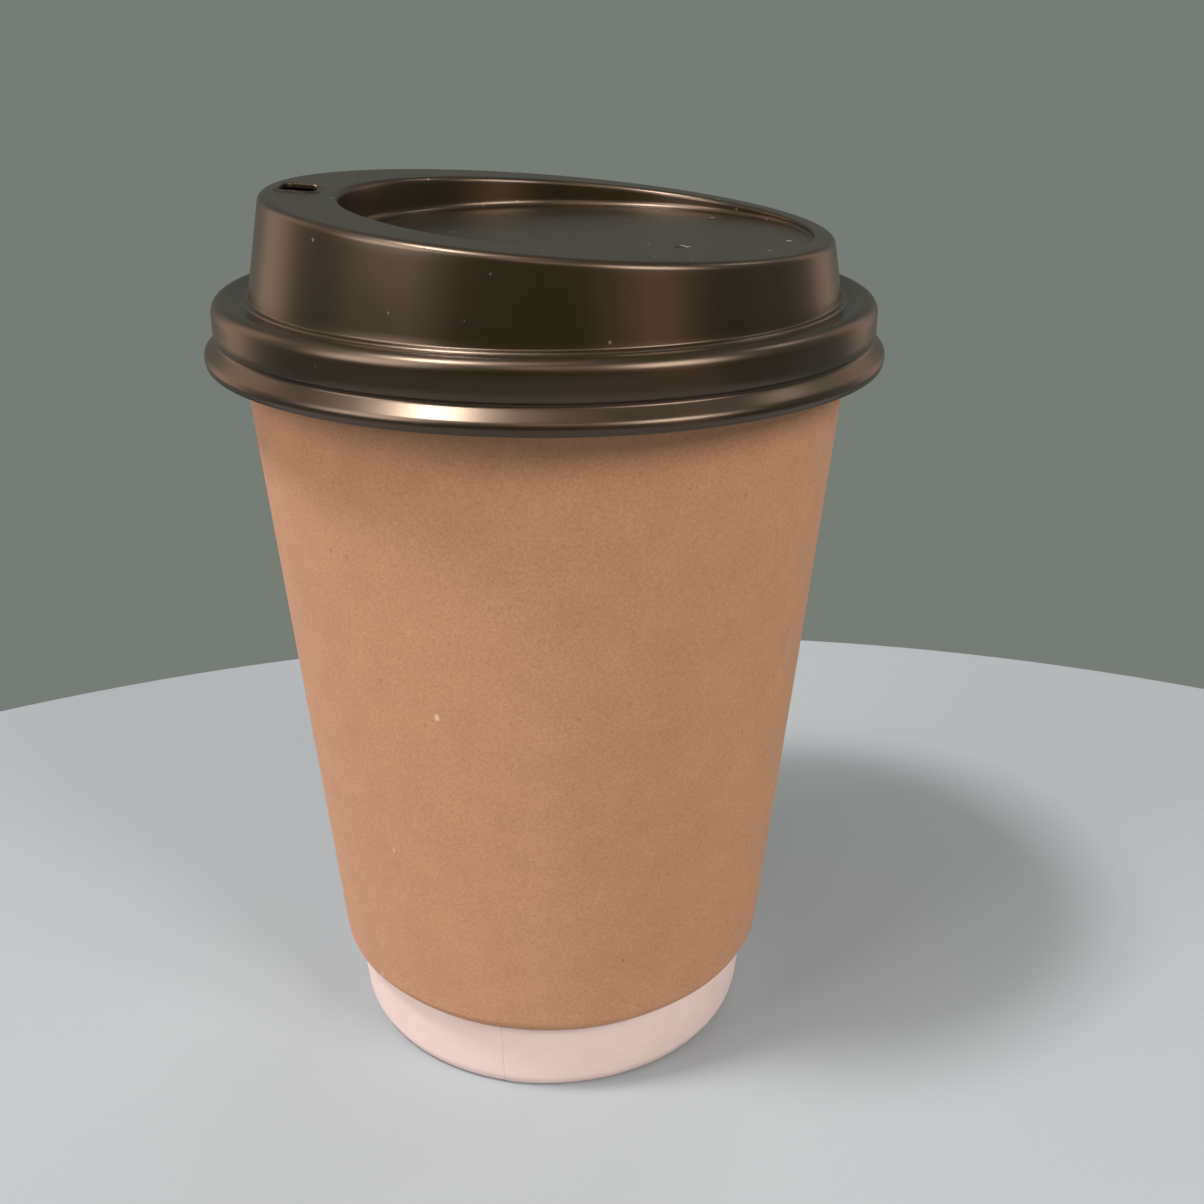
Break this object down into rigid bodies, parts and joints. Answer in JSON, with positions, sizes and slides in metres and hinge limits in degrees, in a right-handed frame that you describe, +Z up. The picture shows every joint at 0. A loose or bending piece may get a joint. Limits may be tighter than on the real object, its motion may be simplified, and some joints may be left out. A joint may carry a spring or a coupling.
{
  "type": "paper coffee cup",
  "caption": "Double-wall paper cup for hot drinks with a folded foot, a rolled rim and a press-on domed sip-through lid.",
  "frame": {"origin": "on the table, at the middle of the ring that the foot stands on", "axes": "+Z up along the cup's axis; the picture looks along +Y from the -Y side; the sip hole is on the -X side"},
  "size_m": [0.0946, 0.0946, 0.1294],
  "materials": {
    "white_board": "matte coated paperboard",
    "base_board": "matte coated paperboard",
    "kraft_paper": "uncoated brown kraft",
    "lid_plastic": "satin dark brown"
  },
  "bodies": {
    "cup": {"inner_cup": "white_board", "base_disc": "base_board", "outer_wrap": "kraft_paper"},
    "lid": {"lid": "lid_plastic"}
  },
  "joints": [
    {"name": "lid_lift", "type": "slide", "parent": "cup", "child": "lid", "axis": [0, 0, 1], "range_m": [0, 0.05]}
  ]
}
